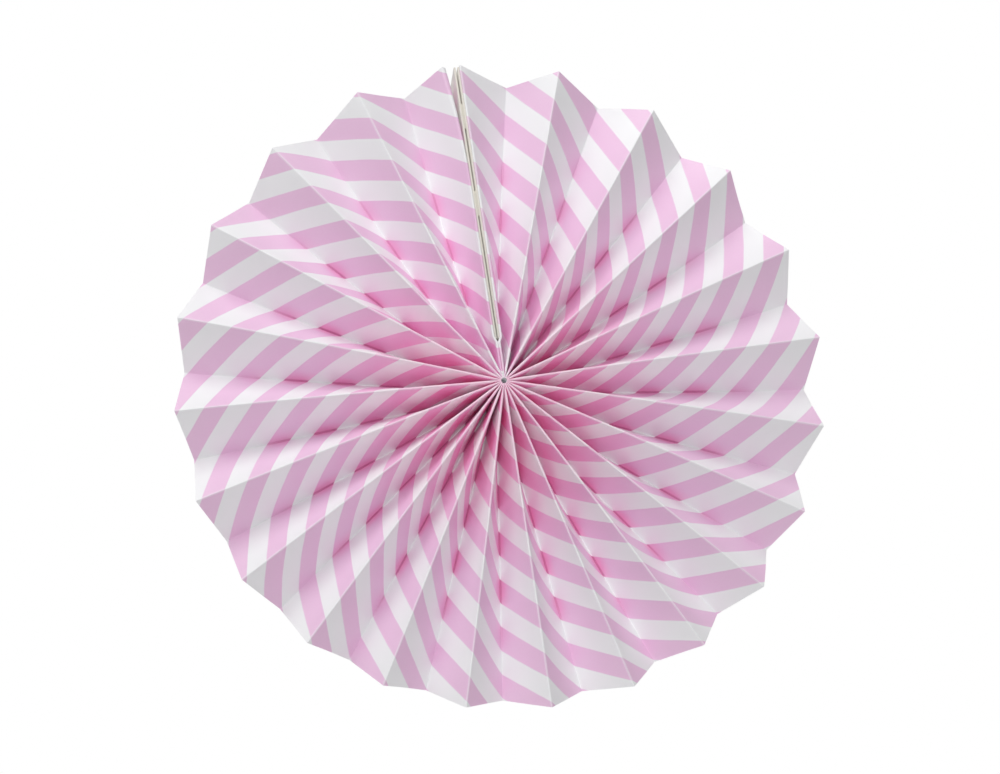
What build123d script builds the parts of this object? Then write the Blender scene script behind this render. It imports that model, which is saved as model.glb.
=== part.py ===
"""Paper fan rosette: one strip of paper pleated into a full circle and closed between two end cards.

The hub's axis runs along Y through the origin, the front faces -Y and the seam stands up along +Z.
"""
import os
from math import atan2, cos, degrees, hypot, pi, radians, sin, sqrt, tan

from build123d import *

# Driving dimensions, in millimetres and degrees
tip_radius = 150.0  # hub axis to the cut end of a mountain fold
rim_slant = 7.0  # how much shorter the slanted cut leaves the valley folds
rim_depth = 11.0  # from mountain to valley at the rim, where the pleats are spread widest
paper_thickness = 0.25
mountain_count = 23
fold_crown = 0.2  # half the flat crown of a fold
crowding = 6.2  # how far the pleats at either side are drawn away from the seam
seam_stiffness = 8  # how soon the pleats beside the seam fall back to the middle plane
stretch_count = 6  # stretches of flat facets that take the twist of a face beside the cards
hub_radius = 5.5  # inside it the pleats lie packed against each other
hub_overlap = 0.5  # how far the faces reach into the packed hub
bore_radius = 1.0
card_thickness = 0.9
card_start = 20.0  # hub axis to the inner end of an end card
card_setback = 0.5  # how far a card stays inside the panel that it stiffens
seam_gap = 0.8  # between the two cards, where the tape pads join them
closing_length = 7.0  # within which the end panels come together below the cards
closed_gap = 0.1  # between the end panels from there to the hub
tape_length = 12.0
outer_tape_share = 0.86  # place of a tape pad along the cards, from their inner end to the rim
inner_tape_share = 0.52
thread_offset = 2.5  # from the packed hub out to the binding thread
thread_radius = 0.4
thread_sides = 6
thread_clearance = 0.1

# Worked out from the driving dimensions
last_fold = 2 * mountain_count - 2
valley_radius = tip_radius - rim_slant
half_paper = paper_thickness / 2
seam_half = seam_gap / 2 + card_thickness + paper_thickness
seam_angle = degrees(seam_half / tip_radius)
closed_half = closed_gap / 2 + paper_thickness
closed_radius = card_start - closing_length
thread_ring_radius = hub_radius + thread_offset
hole_width = 2 * (thread_radius + thread_clearance)
cards_length = valley_radius - card_start


def fold_spacing(fold):
    """Angle between a fold and its neighbours; it is widest beside the seam."""
    return (360 - 2 * seam_angle + 2 * pi * crowding * cos(2 * pi * fold / last_fold)) / last_fold


def fold_chord(fold, radius):
    """Straight distance between neighbouring folds at a radius."""
    return 2 * radius * sin(radians(fold_spacing(fold)) / 2)


# The widest pleat sets how wide the paper must be from fold to fold
pleat_width = hypot(fold_chord(0, tip_radius), rim_depth)
hub_depth = pleat_width + paper_thickness
card_width = hub_depth - 2 * card_setback
radii = [
    hub_radius - hub_overlap,
    closed_radius,
    *(card_start + cards_length * stretch / stretch_count for stretch in range(stretch_count)),
]
stations = [*((radius, radius) for radius in radii), (tip_radius, valley_radius)]


def fold_point(fold, radius):
    """Place of a fold in the plane across the hub; the two end folds run beside the end cards."""
    if fold in (0, last_fold):
        opening = min(1, max(0, (radius - closed_radius) / closing_length))
        across = closed_half + (seam_half - closed_half) * opening
        side = 1 if fold == 0 else -1
        return side * across, sqrt(radius**2 - across**2)
    share = fold / last_fold
    angle = radians(seam_angle + (360 - 2 * seam_angle) * share + crowding * sin(2 * pi * share))
    return radius * sin(angle), radius * cos(angle)


def fold_height(fold, radius):
    """Height of a fold towards the front: mountains stand before the middle plane, valleys behind it."""
    half_depth = sqrt(pleat_width**2 - fold_chord(fold, radius) ** 2) / 2
    seam_share = ((1 + cos(2 * pi * fold / last_fold)) / 2) ** seam_stiffness
    side = 1 if fold % 2 == 0 else -1
    return side * half_depth + (pleat_width / 2 - half_depth) * seam_share


def face_section(mountain, valley, mountain_reach, valley_reach):
    """Front and rear line of the paper across a face, from the crown of its mountain to its valley's."""
    x, z = fold_point(mountain, mountain_reach)
    next_x, next_z = fold_point(valley, valley_reach)
    across = Vector(next_x - x, 0, next_z - z)
    plane = Plane((x, 0, z), x_dir=across, z_dir=across.cross(Vector(0, -1, 0)))
    chord = across.length
    height = fold_height(mountain, mountain_reach)
    next_height = fold_height(valley, valley_reach)
    crown = min(fold_crown, chord / 3)
    mitre = half_paper * tan(atan2(next_height - height, chord - 2 * crown) / 2)
    lines = []
    for side in (1, -1):
        line = (
            (0, height + side * half_paper),
            (crown - side * mitre, height + side * half_paper),
            (chord - crown - side * mitre, next_height + side * half_paper),
            (chord, next_height + side * half_paper),
        )
        lines.append([plane.from_local_coords(point) for point in line])
    return lines


def facets(line, next_line):
    """Flat triangles between a line of corners and the same line at the next station."""
    corners = zip(line, line[1:], next_line, next_line[1:])
    triangles = [triangle for a, b, c, d in corners for triangle in ((a, b, c), (b, d, c))]
    return [Face(Wire.make_polygon(triangle)) for triangle in triangles]


def seam_rim(depth):
    """Height of the slanted cut over the hub axis, at a depth behind the front of the seam."""
    return tip_radius - rim_slant * depth / hub_depth


# The pleated sheet: every face twists from the packed hub, where it stands upright, to the slanted rim
sheet = []
for mountain in range(0, last_fold + 1, 2):
    for valley in (mountain - 1, mountain + 1):
        if 0 < valley < last_fold:
            sections = [face_section(mountain, valley, *station) for station in stations]
            for (front, rear), (next_front, next_rear) in zip(sections, sections[1:]):
                sheet += facets(front, next_front) + facets(rear, next_rear)
                if mountain in (0, last_fold):
                    sheet += facets((front[0], rear[0]), (next_front[0], next_rear[0]))
            for front, rear in (sections[0], sections[-1]):
                sheet.append(Face(Wire.make_polygon((*front, *reversed(rear)))))

with BuildPart() as pleated_paper:
    add(Solid(Shell(sheet)))
    # The end panels turn back from the first and last fold and lie along the seam
    for side in (1, -1):
        for radius, back_radius in (*stations[:3], stations[-1]):
            x, z = fold_point(0, radius)
            backward = Vector(0, hub_depth, back_radius - radius)
            normal = backward.cross(Vector(side, 0, 0))
            with BuildSketch(Plane((side * x, -hub_depth / 2, z), x_dir=backward, z_dir=normal)):
                Rectangle(backward.length, paper_thickness, align=(Align.MIN, Align.MAX))
        loft(ruled=True)
    # Inside the hub radius the pleats are pressed into one ring
    with BuildSketch(Plane.XZ):
        Circle(hub_radius)
        Circle(bore_radius, mode=Mode.SUBTRACT)
    extrude(amount=hub_depth / 2, both=True)
    # Holes for the binding thread
    with BuildSketch():
        with Locations((thread_ring_radius, 0)):
            Rectangle(hole_width, hole_width)
    revolve(axis=Axis.Y, mode=Mode.SUBTRACT)
pleated_paper.part.label = "pleated_paper"

os.makedirs("parts", exist_ok=True)
export_step(pleated_paper.part, "parts/pleated_paper.step")

# The end cards lie on the inner sides of the end panels and share their slanted cut
for side, name in ((1, "end_card_right"), (-1, "end_card_left")):
    with BuildPart() as end_card:
        with BuildSketch(Plane.YZ.offset(side * seam_gap / 2)):
            with BuildLine():
                front_top = seam_rim(card_setback) - card_setback
                back_top = seam_rim(hub_depth - card_setback) - card_setback
                Polyline(
                    (-card_width / 2, card_start),
                    (-card_width / 2, front_top),
                    (card_width / 2, back_top),
                    (card_width / 2, card_start),
                    close=True,
                )
            make_face()
        extrude(amount=side * card_thickness)
    end_card.part.label = name
    export_step(end_card.part, f"parts/{name}.step")

# Two pads of double-sided tape hold the cards together
for share, name in ((outer_tape_share, "tape_pad_outer"), (inner_tape_share, "tape_pad_inner")):
    with BuildPart() as tape_pad:
        with BuildSketch(Plane.YZ):
            with Locations((0, card_start + share * cards_length)):
                Rectangle(card_width, tape_length)
        extrude(amount=seam_gap / 2, both=True)
    tape_pad.part.label = name
    export_step(tape_pad.part, f"parts/{name}.step")

# A loop of thread runs through every face near the hub and draws the pleats together
with BuildPart() as binding_thread:
    with BuildSketch():
        with Locations((thread_ring_radius, 0)):
            RegularPolygon(thread_radius, thread_sides)
    revolve(axis=Axis.Y)
binding_thread.part.label = "binding_thread"
export_step(binding_thread.part, "parts/binding_thread.step")
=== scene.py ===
"""Paper fan rosette: pleated striped paper, card-stiffened seam, tape pads, binding thread and a stage."""
from math import atan2, cos, pi, radians, sin

import bpy
import numpy as np
from mathutils import Matrix, Vector


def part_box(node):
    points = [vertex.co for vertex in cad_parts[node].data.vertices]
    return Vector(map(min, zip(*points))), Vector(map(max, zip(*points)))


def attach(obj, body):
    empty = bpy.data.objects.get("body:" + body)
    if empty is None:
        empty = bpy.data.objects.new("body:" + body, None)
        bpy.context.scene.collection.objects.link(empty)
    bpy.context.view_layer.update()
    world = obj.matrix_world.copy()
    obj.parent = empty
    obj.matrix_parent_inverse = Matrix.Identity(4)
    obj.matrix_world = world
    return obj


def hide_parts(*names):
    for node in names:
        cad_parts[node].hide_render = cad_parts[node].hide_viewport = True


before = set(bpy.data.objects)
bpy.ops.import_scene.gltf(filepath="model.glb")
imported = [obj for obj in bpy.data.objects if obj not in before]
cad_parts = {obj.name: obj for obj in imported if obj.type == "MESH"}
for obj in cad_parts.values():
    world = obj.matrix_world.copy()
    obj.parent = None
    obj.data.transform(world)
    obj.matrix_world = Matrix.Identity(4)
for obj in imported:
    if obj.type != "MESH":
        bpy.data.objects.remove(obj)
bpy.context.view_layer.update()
paper_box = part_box("pleated_paper")
paper_thickness = 0.00025

bl_info = {
    "name": "Paper Fan Rosette",
    "version": (1, 0, 0),
    "blender": (4, 5, 0),
    "location": "3D View > Sidebar > Rosette",
    "description": "Builds a pleated paper rosette with its cards, tape and thread, and a stage for it",
    "category": "Add Mesh",
}


class RosettePaper(bpy.types.PropertyGroup):
    """Sizes of the pleated sheet and of what holds it together."""

    mountain_count: bpy.props.IntProperty(
        name="Mountains", description="Mountain folds round the rosette", default=23, min=8)
    tip_radius: bpy.props.FloatProperty(
        name="Tip Radius", description="Hub axis to the cut end of a mountain fold",
        default=paper_box[1][2], unit="LENGTH")
    rim_slant: bpy.props.FloatProperty(
        name="Rim Slant", description="How much shorter the slanted cut leaves the valley folds",
        default=0.007, unit="LENGTH")
    inner_radius: bpy.props.FloatProperty(
        name="Inner Radius", description="Hub axis to the inner edge of the paper",
        default=0.0013, unit="LENGTH")
    thickness: bpy.props.FloatProperty(
        name="Thickness", description="Thickness of the paper", default=paper_thickness, unit="LENGTH")
    fold_radius: bpy.props.FloatProperty(
        name="Fold Radius", description="Radius of the rounded crown of a fold",
        default=0.00045, unit="LENGTH")
    crowding: bpy.props.FloatProperty(
        name="Crowding", description="How far the pleats at either side are drawn away from the seam",
        default=radians(6.2), subtype="ANGLE")
    seam_half: bpy.props.FloatProperty(
        name="Seam Half", description="Middle of the seam to the outer side of an end panel",
        default=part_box("end_card_right")[1][0] + paper_thickness, unit="LENGTH")
    closing_length: bpy.props.FloatProperty(
        name="Closing Length", description="Length within which the end panels meet below the cards",
        default=0.0015, unit="LENGTH")
    seam_stiffness: bpy.props.FloatProperty(
        name="Seam Stiffness",
        description="How soon the pleats beside the seam fall back to the middle plane", default=8.0)
    card_start: bpy.props.FloatProperty(
        name="Card Start", description="Hub axis to the inner end of an end card",
        default=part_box("end_card_left")[0][2], unit="LENGTH")
    seam_lean: bpy.props.FloatProperty(
        name="Seam Lean",
        description="How much nearer to the middle a card stands at its inner end than at the rim",
        default=0.00016, unit="LENGTH")
    loose_corner: bpy.props.FloatProperty(
        name="Loose Corner", description="How far the left end fold stands off its card at the rim",
        default=0.0035, unit="LENGTH")
    unevenness: bpy.props.FloatProperty(
        name="Unevenness", description="Strength of the small faults of folding by hand", default=1.0)
    card_rounding: bpy.props.FloatProperty(
        name="Card Rounding", description="Rounding of the cards' edges", default=0.00016, unit="LENGTH")
    pad_rounding: bpy.props.FloatProperty(
        name="Pad Rounding", description="Rounding of the tape pads' edges", default=0.0003, unit="LENGTH")
    thread_radius: bpy.props.FloatProperty(
        name="Thread Radius", description="Half the thickness of the binding thread",
        default=0.0004, unit="LENGTH")
    thread_twists: bpy.props.IntProperty(
        name="Thread Twists", description="Twists of the two plies round the whole loop", default=22)


class RosetteFinish(bpy.types.PropertyGroup):
    """Colours and print of the rosette, and the light and shade painted on its pleats."""

    paper: bpy.props.FloatVectorProperty(
        name="Paper", description="Unprinted paper", default=(0.935, 0.935, 0.95), subtype="COLOR")
    # Painted bounce light: pink tint of the paper near the hub
    flush: bpy.props.FloatVectorProperty(
        name="Flush", description="Tint of the paper near the hub, where the pleats colour each other",
        default=(0.985, 0.935, 0.96), subtype="COLOR")
    ink: bpy.props.FloatVectorProperty(
        name="Ink", description="Printed stripe", default=(0.88, 0.57, 0.795), subtype="COLOR")
    # Painted bounce light and shade: deeper stripe colour near the hub and beside the valley folds
    painted_bounce_ink: bpy.props.FloatVectorProperty(
        name="Deep Ink", description="Printed stripe near the hub, where the pleats colour each other",
        default=(0.965, 0.37, 0.66), subtype="COLOR")
    # Painted shade: dark stripe colour right at each valley fold
    painted_crease_ink: bpy.props.FloatVectorProperty(
        name="Gutter Ink", description="Printed stripe where it is pressed into a valley fold",
        default=(0.62, 0.15, 0.37), subtype="COLOR")
    card: bpy.props.FloatVectorProperty(
        name="Card", description="White face of the cards", default=(0.84, 0.82, 0.78), subtype="COLOR")
    card_edge: bpy.props.FloatVectorProperty(
        name="Card Edge", description="Cut edge of the cards", default=(0.86, 0.82, 0.74), subtype="COLOR")
    tape: bpy.props.FloatVectorProperty(
        name="Tape", description="Foam of the tape pads", default=(0.84, 0.80, 0.70), subtype="COLOR")
    thread: bpy.props.FloatVectorProperty(
        name="Thread", description="Binding thread", default=(0.82, 0.79, 0.74), subtype="COLOR")
    stripe_period: bpy.props.FloatProperty(
        name="Stripe Period", description="Spacing of the stripes along a fold",
        default=0.022, unit="LENGTH")
    stripe_step: bpy.props.FloatProperty(
        name="Stripe Step", description="Periods that the stripes climb from one fold to the next",
        default=0.75)
    stripe_start: bpy.props.FloatProperty(
        name="Stripe Start", description="Phase of the print at the hub beside the seam", default=0.45)
    show_through: bpy.props.FloatProperty(
        name="Show Through", description="Share of the ink that shows on the plain side",
        default=0.12, subtype="FACTOR")
    # Worn ink and painted ridge highlight: the stripes are paled along the mountain folds
    crest_wear_and_highlight: bpy.props.FloatProperty(
        name="Crest Wear", description="Share of the ink that is rubbed off along the mountain folds",
        default=0.35, subtype="FACTOR")
    crest_width: bpy.props.FloatProperty(
        name="Crest Width", description="Distance from a mountain fold within which the ink is rubbed",
        default=0.0009, unit="LENGTH")
    # Width of the painted crease shade
    painted_crease_width: bpy.props.FloatProperty(
        name="Gutter Width", description="Distance from a valley fold within which the ink is darkest",
        default=0.0014, unit="LENGTH")
    # Width of the painted valley shade beside each valley fold
    painted_valley_width: bpy.props.FloatProperty(
        name="Stain Width", description="Distance from a valley fold within which the ink is deeper",
        default=0.008, unit="LENGTH")
    # Reach of the painted valley shade
    painted_valley_reach: bpy.props.FloatProperty(
        name="Stain Reach", description="Hub axis to where the valley folds lose their deeper ink",
        default=0.125, unit="LENGTH")
    # Reach of the painted bounce light
    painted_bounce_reach: bpy.props.FloatProperty(
        name="Flush Reach", description="Hub axis to where the pleats no longer colour each other",
        default=0.095, unit="LENGTH")


class RosetteStage(bpy.types.PropertyGroup):
    """Camera, lamps and floor."""

    azimuth: bpy.props.FloatProperty(
        name="Azimuth", description="Camera to the right of the front",
        default=radians(-10.0), subtype="ANGLE")
    elevation: bpy.props.FloatProperty(
        name="Elevation", description="Camera above the hub", default=radians(-12.03), subtype="ANGLE")
    roll: bpy.props.FloatProperty(
        name="Roll", description="Turn of the camera about its line of sight",
        default=radians(-8.63), subtype="ANGLE")
    distance: bpy.props.FloatProperty(
        name="Distance", description="Camera to the hub", default=1.9, unit="LENGTH")
    lens: bpy.props.FloatProperty(
        name="Lens", description="Focal length in millimetres", default=150.0)
    key_power: bpy.props.FloatProperty(
        name="Key Lamp", description="Power of the soft lamp above the front, in watts", default=20.0)
    fill_power: bpy.props.FloatProperty(
        name="Fill Lamp", description="Power of the soft lamp before the hub, in watts", default=9.5)
    back_power: bpy.props.FloatProperty(
        name="Back Lamp", description="Power of the soft lamp above the back, in watts", default=11.0)
    lamp_size: bpy.props.FloatProperty(
        name="Lamp Size", description="Width and height of each lamp", default=1.3, unit="LENGTH")
    ambient: bpy.props.FloatProperty(
        name="Ambient", description="Strength of the even light of the room", default=0.18)
    floor_height: bpy.props.FloatProperty(
        name="Floor Height", description="Height of the floor under the hub", default=-0.5, unit="LENGTH")
    floor_size: bpy.props.FloatProperty(
        name="Floor Size", description="Width and depth of the floor", default=8.0, unit="LENGTH")
    floor_glow: bpy.props.FloatProperty(
        name="Floor Glow", description="How much paler the floor looks than the lamps make it",
        default=0.45)
    bounces: bpy.props.IntProperty(
        name="Bounces", description="How often light may be thrown from pleat to pleat", default=12)


class Value:
    """A shader value; sums and products of values add Math nodes to its tree."""

    def __init__(self, shading, socket):
        self.shading = shading
        self.socket = socket

    def __add__(self, other):
        return self.shading.math("ADD", self, other)

    def __sub__(self, other):
        return self.shading.math("SUBTRACT", self, other)

    def __rsub__(self, other):
        return self.shading.math("SUBTRACT", other, self)

    def __mul__(self, other):
        return self.shading.math("MULTIPLY", self, other)

    def __truediv__(self, other):
        return self.shading.math("DIVIDE", self, other)

    __radd__ = __add__
    __rmul__ = __mul__


class Shading:
    """Node tree of one material or of the world."""

    def __init__(self, owner):
        owner.use_nodes = True
        self.tree = owner.node_tree
        self.tree.nodes.clear()

    def node(self, kind, settings=None, **sockets):
        """Adds a node; socket names are written in lower case with underscores, or as in_0, in_1."""
        node = self.tree.nodes.new("ShaderNode" + kind)
        for name, setting in (settings or {}).items():
            setattr(node, name, setting)
        named = {s.name.lower().replace(" ", "_"): s for s in reversed(node.inputs) if s.enabled}
        for name, value in sockets.items():
            socket = node.inputs[int(name[3:])] if name.startswith("in_") else named[name]
            if isinstance(value, Value):
                self.tree.links.new(value.socket, socket)
            else:
                socket.default_value = value
        return node

    def value(self, kind, output, settings=None, **sockets):
        """Adds a node and returns one of its outputs."""
        node = self.node(kind, settings, **sockets)
        return Value(self, next(s for s in node.outputs if s.name == output and s.enabled))

    def math(self, operation, *values):
        """Result of a Math node."""
        return self.value("Math", "Value", {"operation": operation},
                          **{f"in_{place}": value for place, value in enumerate(values)})

    def split(self, vector, *axes):
        """Parts of a vector along the named axes."""
        node = self.node("SeparateXYZ", vector=vector)
        return [Value(self, node.outputs[axis]) for axis in axes]

    def step(self, value, low, high):
        """Rises softly from 0 to 1 as the value goes from low to high."""
        return self.value("MapRange", "Result", {"interpolation_type": "SMOOTHSTEP"},
                          value=value, from_min=low, from_max=high)

    def fade(self, value, low, high):
        """Falls softly from 1 to 0 as the value goes from low to high."""
        return 1.0 - self.step(value, low, high)

    def noise(self, place, scale, detail=3.0, roughness=0.55):
        """Noise about 0.5 over a place."""
        return self.value("TexNoise", "Fac", vector=place, scale=scale, detail=detail, roughness=roughness)

    def drift(self, size, place, scale, detail=3.0):
        """Noise of a size about 0 over a place."""
        return size * (self.noise(place, scale, detail) - 0.5)

    def blend(self, share, first, second):
        """Colour between two colours."""
        return self.value("Mix", "Result", {"data_type": "RGBA"}, factor=share, a=first, b=second)

    def relief(self, height, strength, distance):
        """Normal of a surface that rises and falls with a height."""
        return self.value("Bump", "Normal", height=height, strength=strength, distance=distance)

    def seen(self):
        """1 for what the camera sees straight or in a gloss or glass, and 0 for the light on the pieces."""
        ray = self.node("LightPath")
        names = ("Is Camera Ray", "Is Glossy Ray", "Is Transmission Ray")
        straight, glossy, through = (Value(self, ray.outputs[name]) for name in names)
        return self.math("MINIMUM", straight + glossy + through, 1.0)

    def finish(self, kind, **sockets):
        """Ends the tree in a shader of that kind."""
        shader = self.node(kind, **sockets)
        end = "OutputWorld" if kind == "Background" else "OutputMaterial"
        self.node(end, surface=Value(self, shader.outputs[0]))


def colour(values, share=1.0):
    """Opaque colour, or a darker share of it."""
    return (*(share * value for value in values), 1.0)


def new_material(name):
    material = bpy.data.materials.new(name)
    return material, Shading(material)


def print_cover(shading, finish, pleat_width, flat, along, reach):
    """Share of a place that the printed stripes cover; they climb from fold to fold, with soft edges."""
    edge, softness = 0.25, 0.015
    climb = along * (finish.stripe_step / pleat_width)
    wander = shading.drift(0.035, flat, scale=60.0)
    phase = reach / finish.stripe_period + climb - finish.stripe_start + wander
    from_middle = shading.math("PINGPONG", phase, 0.5)
    return shading.fade(from_middle, edge - softness, edge + softness)


def striped_side(finish, sheet, name, ink_share, wear_and_highlight):
    """One side of the printed sheet, with painted light and shade; the print follows the flat sheet's own
    map.
    """
    painted_bounce_core = 0.012  # hub axis to where the painted bounce light begins to fade
    painted_valley_core = 0.085  # hub axis to where the painted valley shade begins to fade
    painted_crease_core = 0.0003  # valley fold to where the painted crease shade begins to fade
    crest_core = 0.0002  # mountain fold to where the worn ink and painted ridge highlight begin to fade
    unmarked_left_end = 0.002  # length beside the left end fold that has no worn ink and no painted ridge highlight
    seam_painted_bounce = 0.3  # share of the painted bounce light that is left beside the seam
    seam_painted_valley = 0.55  # share of the painted valley shade that is left beside the seam
    hub_crest_highlight = 0.85  # how far the crests nearest the hub are evened out to half ink, as a painted ridge highlight
    painted_valley_depth = 0.7  # how far the painted valley shade goes from the open ink to the painted bounce ink
    painted_crease_depth = 0.85  # how far the painted crease shade goes on from there to its own ink
    pleat_width = sheet.pleat_width
    strip_length = sheet.last_fold * pleat_width
    material, shading = new_material(name)
    flat = shading.value("UVMap", "UV", {"uv_map": "sheet"})
    along, reach = shading.split(flat, "X", "Y")
    from_mountain = shading.math("PINGPONG", along, pleat_width)
    from_valley = pleat_width - from_mountain

    # Bounce light and shade are painted near the hub; the pleats beside the seam stand open, so they get
    # less of it
    from_seam = shading.math("PINGPONG", along, strip_length / 2)
    past_seam = shading.step(from_seam, 2 * pleat_width, 7 * pleat_width)
    painted_bounce_share = seam_painted_bounce + (1 - seam_painted_bounce) * past_seam
    painted_valley_share = seam_painted_valley + (1 - seam_painted_valley) * past_seam
    painted_hub_bounce = painted_bounce_share * shading.fade(reach, painted_bounce_core, finish.painted_bounce_reach)
    painted_groove_share = painted_valley_share * shading.fade(reach, painted_valley_core, finish.painted_valley_reach)
    # Painted shade along the valley folds: a dark line at the crease and deeper stripes beside it
    painted_crease_shade = painted_groove_share * shading.fade(from_valley, painted_crease_core, finish.painted_crease_width)
    painted_valley_shade = painted_groove_share * shading.fade(from_valley, 0.0, finish.painted_valley_width)

    # Along the mountain folds, but for the left end fold, the ink is worn off and a ridge highlight is
    # painted,
    # and near the hub the crests are evened out to half ink as a painted highlight
    from_crest = from_mountain + shading.drift(0.0003, flat, scale=700.0)
    from_left_end = shading.math("ABSOLUTE", along - strip_length)
    rubbed_and_lit = shading.step(from_left_end, 0.0, unmarked_left_end)
    crest = rubbed_and_lit * shading.fade(from_crest, crest_core, finish.crest_width)
    stripe = print_cover(shading, finish, pleat_width, flat, along, reach)
    cover_with_crest_highlight = stripe + hub_crest_highlight * crest * painted_hub_bounce * (0.5 - stripe)
    grain = shading.drift(0.14, flat, scale=900.0, detail=4.0)
    density = 0.93 + grain + shading.drift(0.08, flat, scale=35.0)
    shown = cover_with_crest_highlight * density * (1.0 - wear_and_highlight * crest * (1.0 - painted_hub_bounce)) * ink_share

    # Painted bounce light tints the paper near the hub, and painted bounce light and shade deepen the
    # stripes
    ground = shading.blend(painted_hub_bounce, colour(finish.paper), colour(finish.flush))
    # Share of the painted bounce light and painted valley shade in the stripe colour
    depth = shading.math("MAXIMUM", painted_hub_bounce, painted_valley_depth * painted_valley_shade)
    stripes_with_painted_bounce = shading.blend(depth, colour(finish.ink), colour(finish.painted_bounce_ink))
    # Painted crease shade darkens the stripes at the valley folds
    stripes = shading.blend(painted_crease_depth * painted_crease_shade, stripes_with_painted_bounce, colour(finish.painted_crease_ink))
    fibres = shading.noise(flat, scale=2600.0, detail=5.0, roughness=0.65)
    mottling = shading.noise(flat, scale=240.0)
    shading.finish("BsdfPrincipled", base_color=shading.blend(shown, ground, stripes),
                   roughness=0.42 + 0.1 * (mottling - 0.5) + 0.12 * crest,
                   normal=shading.relief(0.6 * fibres + 0.4 * mottling, strength=0.1, distance=0.00008))
    return material


def fibrous(name, tint, dark_share, scale, roughness, strength, distance):
    """Bare fibres, as at a cut edge of paper or along a thread."""
    material, shading = new_material(name)
    place = shading.value("TexCoord", "Object")
    fibres = shading.noise(place, scale, detail=4.0, roughness=0.7)
    colours = shading.blend(fibres, colour(tint, dark_share), colour(tint))
    shading.finish("BsdfPrincipled", base_color=colours, roughness=roughness + 0.1 * (fibres - 0.5),
                   normal=shading.relief(fibres, strength, distance))
    return material


def cut_paper(finish):
    """Cut edge of the sheet."""
    return fibrous("cut_paper_edge", finish.paper, dark_share=0.93, scale=3500.0, roughness=0.8,
                   strength=0.3, distance=0.0001)


def twine(finish):
    """Cotton thread."""
    return fibrous("cotton_thread", finish.thread, dark_share=0.8, scale=4000.0, roughness=0.85,
                   strength=0.4, distance=0.00008)


def board(finish):
    """White-faced card whose cut edges show a cream core."""
    material, shading = new_material("white_card")
    place = shading.value("TexCoord", "Object")
    sideways = shading.split(shading.value("NewGeometry", "Normal"), "X")[0]
    face = shading.step(shading.math("ABSOLUTE", sideways), 0.55, 0.8)
    layered = shading.value("VectorMath", "Vector", {"operation": "MULTIPLY"},
                            in_0=place, in_1=(6.0, 1.0, 1.0))
    layers = shading.noise(layered, scale=700.0, detail=4.0, roughness=0.6)
    speck = shading.noise(place, scale=2500.0)
    edge = shading.blend(layers, colour(finish.card_edge, 0.84), colour(finish.card_edge))
    smooth = shading.blend(speck, colour(finish.card, 0.95), colour(finish.card))
    height = layers * (1.0 - face) + 0.2 * speck
    shading.finish("BsdfPrincipled", base_color=shading.blend(face, edge, smooth),
                   roughness=0.82 - 0.2 * face + 0.08 * (speck - 0.5),
                   normal=shading.relief(height, strength=0.35, distance=0.00012))
    return material


def foam(finish):
    """Cream foam of the tape, with fine cells at its sides."""
    material, shading = new_material("foam_tape")
    place = shading.value("TexCoord", "Object")
    cells = shading.value("TexVoronoi", "Distance", vector=place, scale=3200.0)
    dust = shading.noise(place, scale=500.0)
    colours = shading.blend(0.6 * cells + 0.4 * dust, colour(finish.tape, 0.86), colour(finish.tape))
    shading.finish("BsdfPrincipled", base_color=colours, roughness=0.68 + 0.1 * (dust - 0.5),
                   normal=shading.relief(cells, strength=0.4, distance=0.00015))
    return material


def pale_floor(stage):
    """Plain floor that looks paler than its light makes it, and throws no more light for that."""
    material, shading = new_material("pale_floor")
    grain = shading.noise(shading.value("TexCoord", "Object"), scale=40.0)
    white = (1.0, 1.0, 1.0)
    colours = shading.blend(grain, colour(white, 0.85), colour(white, 0.88))
    shading.finish("BsdfPrincipled", base_color=colours, roughness=0.9, emission_strength=stage.floor_glow,
                   emission_color=shading.blend(shading.seen(), colour(white, 0.0), colour(white)))
    return material


def start_piece(name, primitive, **settings):
    """Adds a primitive as the start of a piece and puts its place in its mesh."""
    bpy.ops.object.select_all(action="DESELECT")
    primitive(**settings)
    piece = bpy.context.object
    piece.name = name
    piece.data.name = name
    bpy.ops.object.transform_apply(location=True, rotation=True, scale=True)
    return piece


def end_piece(piece, materials, node):
    """Gives a piece its finish and ties it to the part that it stands for."""
    for material in materials:
        piece.data.materials.append(material)
    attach(piece, "root")
    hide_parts(node)


def box_piece(node, width_share=1.0):
    """A block that fills the box of a part, or a share of its width."""
    low, high = (Vector(corner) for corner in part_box(node))
    return start_piece(node + "_dressed", bpy.ops.mesh.primitive_cube_add, size=1.0,
                       location=(low + high) / 2, scale=(high - low) * Vector((width_share, 1.0, 1.0)))


def seam_closing(sizes, height):
    """How far the sides of the seam have come towards the middle at a height above the hub."""
    share = (sizes.tip_radius - height) / (sizes.tip_radius - sizes.card_start)
    return sizes.seam_lean * np.clip(share, 0.0, 1.0)


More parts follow.
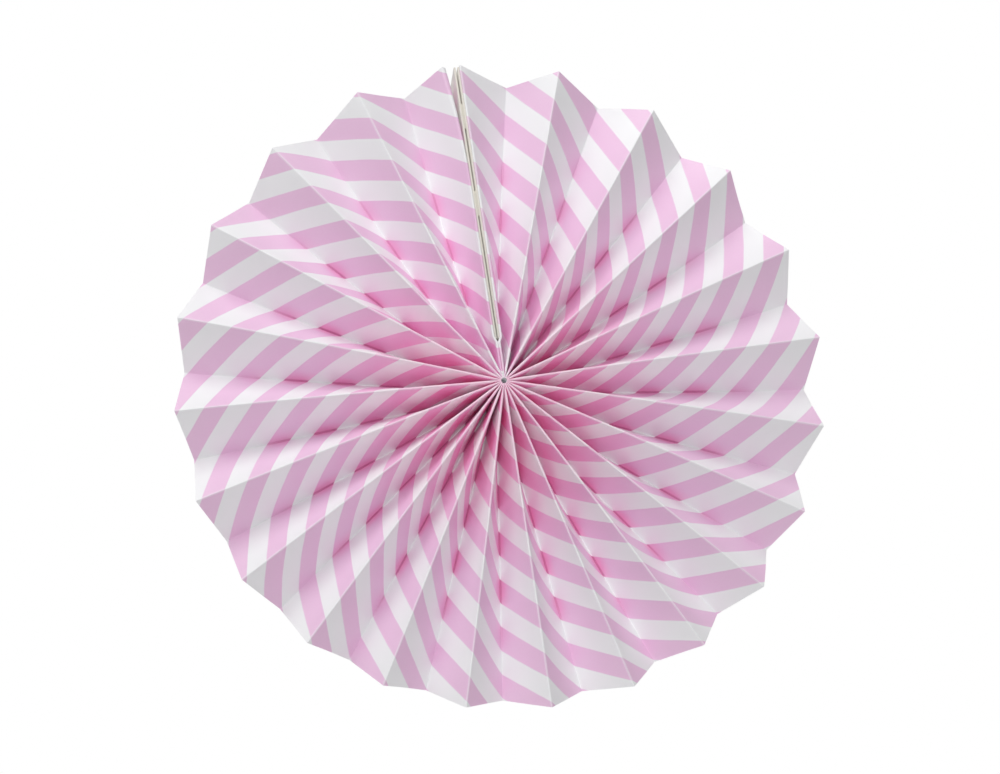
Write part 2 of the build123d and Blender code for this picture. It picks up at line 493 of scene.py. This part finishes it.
class PleatedSheet:
    """Where each point of the flat strip goes when it is folded, for all rows of points at once."""

    row_count = 46
    row_crowding = 1.35  # draws the rows closer together towards the hub
    arc_steps = 4  # steps round half the crown of a fold
    flat_steps = 6  # steps across the flat of a face
    panel_steps = 4  # steps across an end panel
    clearance = 0.00005  # from an end panel to its card, and to the middle of the seam below the cards
    crown_share = 0.46  # share of the way between two folds that a crown may take up
    loose_from = 0.6  # share of its length along which the left end panel keeps to its card
    loose_crown = 0.4  # share of its stand-off by which the loose fold's crown is wider
    turn_faults = radians(0.3)
    height_faults = 0.0005
    rim_faults = 0.0004
    bow_faults = 0.0006

    def __init__(self, sizes):
        self.sizes = sizes
        self.last_fold = 2 * sizes.mountain_count - 2
        self.pleat_width = paper_box[1][1] - paper_box[0][1] - sizes.thickness
        self.seam_angle = sizes.seam_half / sizes.tip_radius
        self.rows = np.linspace(0.0, 1.0, self.row_count) ** self.row_crowding
        chance = np.random.default_rng(23)
        self.turn_fault, self.height_fault, self.rim_fault, self.bow = (
            size * sizes.unevenness * chance.uniform(-1, 1, self.last_fold + 1)
            for size in (self.turn_faults, self.height_faults, self.rim_faults, self.bow_faults)
        )
        for faults in (self.turn_fault, self.height_fault, self.rim_fault):
            faults[[0, -1]] = 0.0

    def reach(self, fold):
        """Distance from the hub axis at each row along a fold."""
        shorter = self.sizes.rim_slant if fold % 2 else 0.0
        rim = self.sizes.tip_radius - shorter + self.rim_fault[fold]
        return self.sizes.inner_radius + (rim - self.sizes.inner_radius) * self.rows

    def place(self, fold):
        """Points of a fold across the hub, as x and z."""
        reach = self.reach(fold)
        if fold in (0, self.last_fold):
            closed = self.sizes.card_start - self.sizes.closing_length
            opening = np.clip((reach - closed) / self.sizes.closing_length, 0.0, 1.0)
            room = self.sizes.seam_half - self.sizes.thickness - seam_closing(self.sizes, reach)
            panel = 0.5 * self.sizes.thickness + self.clearance + room * opening
            across = panel + self.crown(fold) + self.stand_off(fold)
            return np.stack((across if fold == 0 else -across, np.sqrt(reach**2 - across**2)))
        share = fold / self.last_fold
        even = self.seam_angle + 2 * (pi - self.seam_angle) * share
        angle = even + self.sizes.crowding * sin(2 * pi * share) + self.turn_fault[fold] * self.rows
        return reach * np.stack((np.sin(angle), np.cos(angle)))

    def chord(self, fold):
        """Straight distance to the neighbouring folds at each row."""
        wider = 2 * pi * self.sizes.crowding * cos(2 * pi * fold / self.last_fold)
        spacing = (2 * (pi - self.seam_angle) + wider) / self.last_fold
        return 2 * self.reach(fold) * sin(spacing / 2)

    def stand_off(self, fold):
        """How far an end panel leaves its card; only the left one is loose, near the rim."""
        if fold != self.last_fold:
            return 0.0 * self.rows
        loose = (self.rows - self.loose_from) / (1 - self.loose_from)
        return self.sizes.loose_corner * np.clip(loose, 0.0, 1.0) ** 2

    def crown(self, fold):
        """Radius of the rounded fold, which tightens towards the hub."""
        wide = self.sizes.fold_radius + self.loose_crown * self.stand_off(fold)
        return np.minimum(wide, self.crown_share * self.chord(fold))

    def height(self, fold):
        """Height of a fold towards the front."""
        half_depth = np.sqrt(self.pleat_width**2 - self.chord(fold) ** 2) / 2
        held = ((1 + cos(2 * pi * fold / self.last_fold)) / 2) ** self.sizes.seam_stiffness
        side = -1 if fold % 2 else 1
        lift = side * half_depth + (self.pleat_width / 2 - half_depth) * held
        return lift + self.height_fault[fold] * self.rows

    def section(self, fold, chord, drop):
        """Run and drop of the points across a face, from crown to crown, and their shares of its width."""
        first, second = (np.minimum(self.crown(end), self.crown_share * chord) for end in (fold, fold + 1))
        both = first + second
        span = np.hypot(chord, drop - both)
        slope = np.arctan2(drop - both, chord) + np.arcsin(both / span)
        straight = np.sqrt(span**2 - both**2)
        turn = slope * np.linspace(0, 1, self.arc_steps + 1)[:, None]
        arc = np.stack((np.sin(turn), 1 - np.cos(turn)))
        run = straight * np.linspace(0, 1, self.flat_steps + 1)[1:-1, None]
        near = first * arc
        flat = near[:, -1:] + np.stack((run * np.cos(slope), run * np.sin(slope)))
        far = np.stack((chord, drop))[:, None] - second * arc[:, ::-1]
        whole = both * slope + straight
        length = np.concatenate((first * turn, first * slope + run, whole - (second * turn)[::-1]))
        part = length / whole
        bulge = self.bow[fold] * self.rows * np.sin(pi * part) ** 2
        outward = np.stack((np.sin(slope), -np.cos(slope)))
        return np.concatenate((near, flat, far), axis=1) + bulge * outward[:, None], part

    def face(self, fold):
        """Points and flat places of the face from a fold to the next one."""
        start, end = self.place(fold), self.place(fold + 1)
        start_height, end_height = self.height(fold), self.height(fold + 1)
        chord = np.hypot(*(end - start))
        (run, drop), part = self.section(fold, chord, np.abs(end_height - start_height))
        across = (end - start) / chord
        x, z = start[:, None] + across[:, None] * run
        height = start_height + (drop if fold % 2 else -drop)
        reach = self.reach(fold) + (self.reach(fold + 1) - self.reach(fold)) * part
        along = (fold + part) * self.pleat_width
        return np.stack((x, -height, z), axis=-1), np.stack((along, reach), axis=-1)

    def end_panel(self, fold):
        """Points and flat places of the panel that turns back from an end fold into the seam."""
        crown = self.crown(fold)
        x, z = self.place(fold)
        inward = -1 if fold == 0 else 1
        turn = (pi / 2) * np.linspace(0, 1, self.arc_steps + 1)[1:, None]
        run = np.linspace(0, 1, self.panel_steps + 1)[1:, None] * (self.pleat_width - crown)
        depth = np.concatenate((crown * (1 - np.cos(turn)), crown + run))
        aside = np.concatenate((crown * np.sin(turn), np.broadcast_to(crown, run.shape)))
        shorter = self.sizes.rim_slant * self.rows * depth / self.pleat_width
        along = fold * self.pleat_width + inward * depth
        points = np.stack((x + inward * aside, depth - self.height(fold), z - shorter), axis=-1)
        return points, np.stack((along, self.reach(fold) - shorter), axis=-1)

    def strip(self):
        """All points and flat places, column by column along the strip."""
        first = [array[::-1] for array in self.end_panel(0)]
        faces = [self.face(fold) for fold in range(self.last_fold)]
        last = self.end_panel(self.last_fold)
        inner = [[array[1:] if fold else array for array in face] for fold, face in enumerate(faces)]
        return [np.concatenate(arrays) for arrays in zip(first, *inner, last)]


class ROSETTE_OT_pleated_paper(bpy.types.Operator):
    """Fold a flat strip into the pleated sheet"""

    bl_idname = "rosette.pleated_paper"
    bl_label = "Pleated Paper"

    def execute(self, context):
        sizes = context.scene.rosette_paper
        finish = context.scene.rosette_finish
        sheet = PleatedSheet(sizes)
        points, flat = sheet.strip()
        columns, rows = points.shape[:2]
        piece = start_piece("pleated_paper_dressed", bpy.ops.mesh.primitive_grid_add,
                            x_subdivisions=columns - 1, y_subdivisions=rows - 1, size=1.0)
        mesh = piece.data
        if len(mesh.vertices) != columns * rows:
            raise RuntimeError("The flat strip doesn't have a point for each row and column")
        mesh.vertices.foreach_set("co", points.transpose(1, 0, 2).ravel())
        corners = np.empty(len(mesh.loops), dtype=np.int32)
        mesh.loops.foreach_get("vertex_index", corners)
        mesh.uv_layers[0].name = "sheet"
        mesh.uv_layers[0].data.foreach_set("uv", flat.transpose(1, 0, 2).reshape(-1, 2)[corners].ravel())
        mesh.update()
        thicken = piece.modifiers.new("Thickness", "SOLIDIFY")
        thicken.thickness = sizes.thickness
        thicken.offset = 0.0
        thicken.material_offset = 1
        thicken.material_offset_rim = 2
        end_piece(piece, (
            striped_side(finish, sheet, "printed_side", 1.0, finish.crest_wear_and_highlight),
            striped_side(finish, sheet, "plain_side", finish.show_through, 0.0),
            cut_paper(finish),
        ), "pleated_paper")
        bpy.ops.object.modifier_apply(modifier=thicken.name)
        bpy.ops.object.shade_smooth_by_angle(angle=radians(35))
        return {"FINISHED"}


class ROSETTE_OT_end_cards(bpy.types.Operator):
    """Cut the two cards that stiffen the ends of the strip"""

    bl_idname = "rosette.end_cards"
    bl_label = "End Cards"

    def execute(self, context):
        sizes = context.scene.rosette_paper
        material = board(context.scene.rosette_finish)
        depth = paper_box[1][1] - paper_box[0][1]
        lean = atan2(sizes.seam_lean, sizes.tip_radius - sizes.card_start)
        for node, turn in (("end_card_left", lean), ("end_card_right", -lean)):
            low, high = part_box(node)
            piece = box_piece(node)
            bpy.ops.object.mode_set(mode="EDIT")
            bpy.ops.mesh.select_all(action="SELECT")
            bpy.ops.mesh.bisect(plane_co=(0.0, low[1], high[2]), plane_no=(0.0, sizes.rim_slant, depth),
                                use_fill=True, clear_outer=True)
            bpy.ops.mesh.select_all(action="SELECT")
            bpy.ops.mesh.normals_make_consistent(inside=False)
            bpy.ops.mesh.bevel(offset=sizes.card_rounding, segments=2, affect="EDGES")
            bpy.ops.mesh.select_all(action="SELECT")
            bpy.ops.transform.rotate(value=turn, orient_axis="Y",
                                     center_override=(0.0, 0.0, sizes.tip_radius))
            bpy.ops.object.mode_set(mode="OBJECT")
            bpy.ops.object.shade_smooth_by_angle(angle=radians(40))
            end_piece(piece, (material,), node)
        return {"FINISHED"}


class ROSETTE_OT_tape_pads(bpy.types.Operator):
    """Make the foam pads that hold the cards together"""

    bl_idname = "rosette.tape_pads"
    bl_label = "Tape Pads"

    def execute(self, context):
        sizes = context.scene.rosette_paper
        material = foam(context.scene.rosette_finish)
        for node in ("tape_pad_outer", "tape_pad_inner"):
            low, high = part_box(node)
            width = high[0] - low[0]
            gap = width - 2 * seam_closing(sizes, (low[2] + high[2]) / 2)
            piece = box_piece(node, gap / width)
            bpy.ops.object.mode_set(mode="EDIT")
            bpy.ops.mesh.select_all(action="SELECT")
            bpy.ops.mesh.bevel(offset=sizes.pad_rounding, segments=3, affect="EDGES")
            bpy.ops.object.mode_set(mode="OBJECT")
            bpy.ops.object.shade_smooth_by_angle(angle=radians(40))
            end_piece(piece, (material,), node)
        return {"FINISHED"}


class ROSETTE_OT_binding_thread(bpy.types.Operator):
    """Lay the two-ply thread that draws the pleats together"""

    bl_idname = "rosette.binding_thread"
    bl_label = "Binding Thread"

    def execute(self, context):
        sizes = context.scene.rosette_paper
        low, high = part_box("binding_thread")
        ring = (high[0] - low[0]) / 2 - sizes.thread_radius
        piece = start_piece("binding_thread_dressed", bpy.ops.mesh.primitive_torus_add,
                            major_segments=256, minor_segments=14, major_radius=ring,
                            minor_radius=sizes.thread_radius, rotation=(pi / 2, 0.0, 0.0))
        # The section has a waist between the two plies, and turns along the loop
        waist, ply = 0.62, 0.36
        for vertex in piece.data.vertices:
            outward = Vector((vertex.co.x, 0.0, vertex.co.z)).normalized()
            centre = outward * ring
            turn = atan2(vertex.co.x, vertex.co.z)
            off = vertex.co - centre
            around = atan2(off.y, off.dot(outward))
            vertex.co = centre + off * (waist + ply * abs(cos(around - sizes.thread_twists * turn / 2)))
        bpy.ops.object.shade_smooth()
        end_piece(piece, (twine(context.scene.rosette_finish),), "binding_thread")
        return {"FINISHED"}


class ROSETTE_OT_stage(bpy.types.Operator):
    """Set up the floor, the light and the camera"""

    bl_idname = "rosette.stage"
    bl_label = "Stage"

    def execute(self, context):
        stage = context.scene.rosette_stage
        floor = start_piece("floor", bpy.ops.mesh.primitive_plane_add, size=stage.floor_size,
                            location=(0.0, 0.0, stage.floor_height))
        floor.data.materials.append(pale_floor(stage))
        self.light(context, stage)
        self.aim_camera(context, stage)
        context.scene.cycles.diffuse_bounces = stage.bounces
        context.scene.view_settings.view_transform = "Standard"
        return {"FINISHED"}

    def light(self, context, stage):
        """Adds the lamps, which face the hub, and an even light in a room that looks white."""
        for name, power, direction, distance in (
            ("key_lamp", stage.key_power, (-0.24, -0.72, 1.0), 1.7),
            ("fill_lamp", stage.fill_power, (-0.1, -1.0, 0.1), 2.5),
            ("back_lamp", stage.back_power, (0.2, 1.0, 0.55), 1.8),
        ):
            bpy.ops.object.light_add(type="AREA")
            lamp = context.object
            lamp.name = name
            lamp.data.energy = power
            lamp.data.size = stage.lamp_size
            toward = Vector(direction).normalized()
            lamp.location = toward * distance
            lamp.rotation_euler = toward.to_track_quat("Z", "Y").to_euler()
        world = bpy.data.worlds.new("room")
        context.scene.world = world
        shading = Shading(world)
        shading.finish("Background", color=(1.0, 1.0, 1.0, 1.0),
                       strength=stage.ambient + (1.0 - stage.ambient) * shading.seen())

    def aim_camera(self, context, stage):
        """Adds the camera, turned about its line of sight to the hub."""
        bpy.ops.object.camera_add()
        camera = context.object
        camera.data.lens = stage.lens
        level = Vector((cos(stage.azimuth), sin(stage.azimuth), 0.0))
        back = Vector((
            sin(stage.azimuth) * cos(stage.elevation),
            -cos(stage.azimuth) * cos(stage.elevation),
            sin(stage.elevation),
        ))
        right = cos(stage.roll) * level + sin(stage.roll) * back.cross(level)
        axes = Matrix((right, back.cross(right), back)).transposed().to_4x4()
        camera.matrix_world = Matrix.Translation(back * stage.distance) @ axes
        context.scene.camera = camera


class ROSETTE_PT_panel(bpy.types.Panel):
    """Steps and settings of the rosette"""

    bl_label = "Paper Fan Rosette"
    bl_space_type = "VIEW_3D"
    bl_region_type = "UI"
    bl_category = "Rosette"

    def draw(self, context):
        for step in steps:
            self.layout.operator(step.bl_idname)
        for group in groups:
            settings = getattr(context.scene, group)
            column = self.layout.column(align=True)
            for name in settings.__annotations__:
                column.prop(settings, name)


groups = {"rosette_paper": RosettePaper, "rosette_finish": RosetteFinish, "rosette_stage": RosetteStage}
steps = (
    ROSETTE_OT_pleated_paper,
    ROSETTE_OT_end_cards,
    ROSETTE_OT_tape_pads,
    ROSETTE_OT_binding_thread,
    ROSETTE_OT_stage,
)


def register():
    for cls in (*groups.values(), *steps, ROSETTE_PT_panel):
        bpy.utils.register_class(cls)
    for name, group in groups.items():
        setattr(bpy.types.Scene, name, bpy.props.PointerProperty(type=group))


def unregister():
    for name in groups:
        delattr(bpy.types.Scene, name)
    for cls in (ROSETTE_PT_panel, *reversed(steps), *groups.values()):
        bpy.utils.unregister_class(cls)


def main():
    register()
    bpy.ops.rosette.pleated_paper()
    bpy.ops.rosette.end_cards()
    bpy.ops.rosette.tape_pads()
    bpy.ops.rosette.binding_thread()
    bpy.ops.rosette.stage()


if __name__ == "__main__":
    main()
